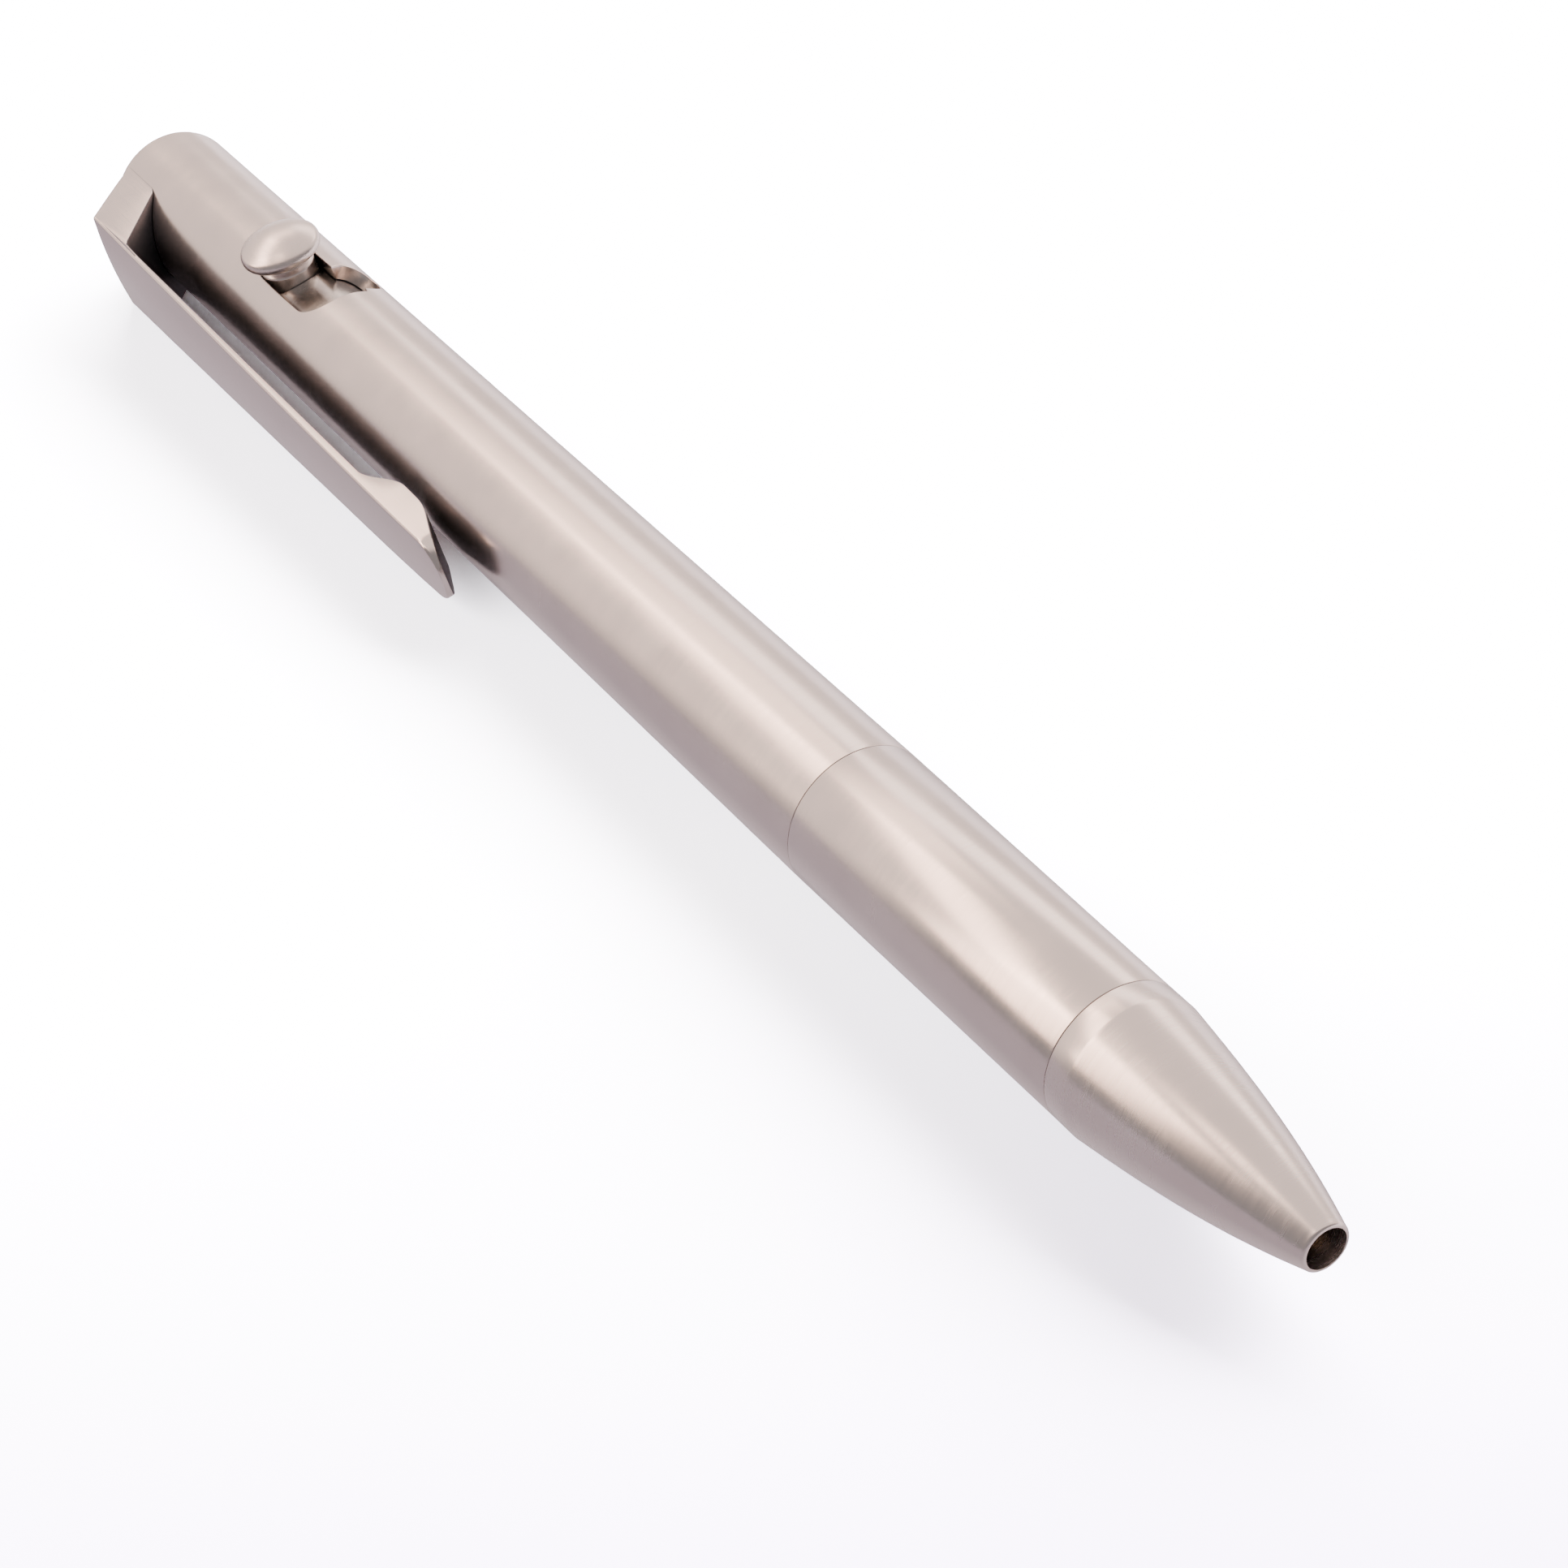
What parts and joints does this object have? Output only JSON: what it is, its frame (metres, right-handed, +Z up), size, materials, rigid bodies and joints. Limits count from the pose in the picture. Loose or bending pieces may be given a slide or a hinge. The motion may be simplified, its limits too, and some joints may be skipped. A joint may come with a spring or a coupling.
{
  "type": "bolt action pen",
  "caption": "machined metal ball pen with a side bolt in an L-shaped slot, a milled pocket clip and a front end that unscrews",
  "frame": {"origin": "under the middle of the pen's box, on the surface that the pen lies on", "axes": "+X from the rear end to the writing point, +Z up, clip towards -Y, in metres"},
  "size_m": [0.1368, 0.0125, 0.0118],
  "materials": {
    "barrel_titanium": "satin polished titanium",
    "front_titanium": "satin polished titanium",
    "nose_titanium": "satin polished titanium",
    "clip_titanium": "satin polished titanium",
    "knob_titanium": "satin polished titanium",
    "plunger_steel": "turned steel",
    "screw_steel": "dark steel",
    "refill_steel": "drawn steel",
    "refill_plastic": "dark moulded plastic",
    "refill_brass": "turned brass",
    "ball_carbide": "polished carbide",
    "spring_wire": "bright spring wire",
    "ring_rubber": "matt black rubber"
  },
  "bodies": {
    "barrel": {"rear_barrel": "barrel_titanium", "clip": "clip_titanium", "clip_screw": "screw_steel"},
    "bolt": {"bolt_knob": "knob_titanium", "bolt_plunger": "plunger_steel", "plunger_ring": "ring_rubber"},
    "refill": {"refill_tube": "refill_steel", "refill_end_plug": "refill_plastic", "refill_nose": "refill_steel", "refill_point": "refill_brass", "writing_ball": "ball_carbide"},
    "front": {"front_barrel": "front_titanium", "front_joint_ring": "ring_rubber"},
    "nose": {"nose_cone": "nose_titanium", "nose_joint_ring": "ring_rubber", "return_spring": "spring_wire"}
  },
  "joints": [
    {"name": "bolt_slide", "type": "slide", "parent": "barrel", "child": "bolt", "axis": [1, 0, 0], "range_m": [0, 0.0052], "stiffness_N_per_m": 300, "springref_m": -0.005, "deforming": ["return_spring"]},
    {"name": "refill_slide", "type": "slide", "parent": "barrel", "child": "refill", "axis": [1, 0, 0], "range_m": [0, 0.0052]},
    {"name": "front_unscrew", "type": "slide", "parent": "barrel", "child": "front", "axis": [1, 0, 0], "range_m": [0, 0.054]},
    {"name": "nose_unscrew", "type": "slide", "parent": "front", "child": "nose", "axis": [1, 0, 0], "range_m": [0, 0.028]}
  ],
  "couplings": [
    {"joint": "refill_slide", "follows": "bolt_slide", "ratio": 1}
  ]
}
